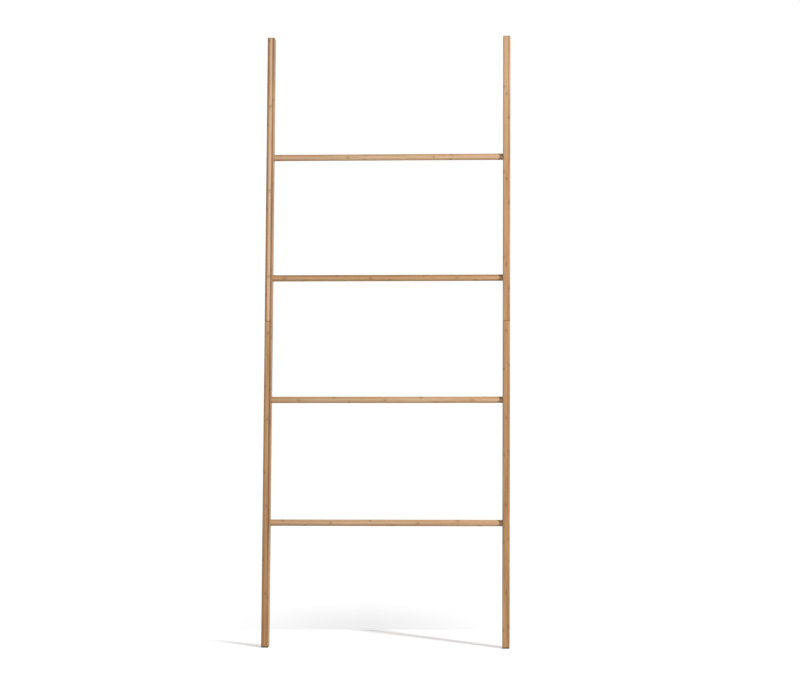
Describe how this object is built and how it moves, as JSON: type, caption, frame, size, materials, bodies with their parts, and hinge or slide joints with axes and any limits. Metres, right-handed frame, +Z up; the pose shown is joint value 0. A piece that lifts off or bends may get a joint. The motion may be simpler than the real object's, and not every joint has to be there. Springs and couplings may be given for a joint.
{
  "type": "blanket ladder",
  "caption": "Leaning bamboo blanket ladder: round rungs screwed between jointed rails, with feet cut level on rubber pads and small felt pads where its tops rest on a wall.",
  "frame": {"origin": "on the floor, in the middle of the footprint: half way between the rails, and half way between the front of the feet and the wall", "axes": "+X to the right of someone facing the ladder, +Y towards the wall that it leans on, +Z up"},
  "size_m": [0.61, 0.2916, 1.5036],
  "materials": {
    "upper_rail_bamboo": "pale laminated bamboo, clear satin coat",
    "lower_rail_bamboo": "laminated bamboo, a shade darker, clear satin coat",
    "rung_bamboo": "turned bamboo, clear satin coat",
    "steel": "zinc-plated steel",
    "brass": "plain turned brass",
    "foot_rubber": "matt black rubber",
    "wall_felt": "brown-grey pressed felt"
  },
  "bodies": {
    "root": {"left_rail_lower": "lower_rail_bamboo", "left_rail_upper": "upper_rail_bamboo", "left_rail_stud": "steel", "left_rail_insert": "brass", "left_foot_pad": "foot_rubber", "left_wall_pad": "wall_felt", "right_rail_lower": "lower_rail_bamboo", "right_rail_upper": "upper_rail_bamboo", "right_rail_stud": "steel", "right_rail_insert": "brass", "right_foot_pad": "foot_rubber", "right_wall_pad": "wall_felt", "rung_1": "rung_bamboo", "rung_1_screw_left": "steel", "rung_1_insert_left": "brass", "rung_1_screw_right": "steel", "rung_1_insert_right": "brass", "rung_2": "rung_bamboo", "rung_2_screw_left": "steel", "rung_2_insert_left": "brass", "rung_2_screw_right": "steel", "rung_2_insert_right": "brass", "rung_3": "rung_bamboo", "rung_3_screw_left": "steel", "rung_3_insert_left": "brass", "rung_3_screw_right": "steel", "rung_3_insert_right": "brass", "rung_4": "rung_bamboo", "rung_4_screw_left": "steel", "rung_4_insert_left": "brass", "rung_4_screw_right": "steel", "rung_4_insert_right": "brass"}
  },
  "joints": []
}
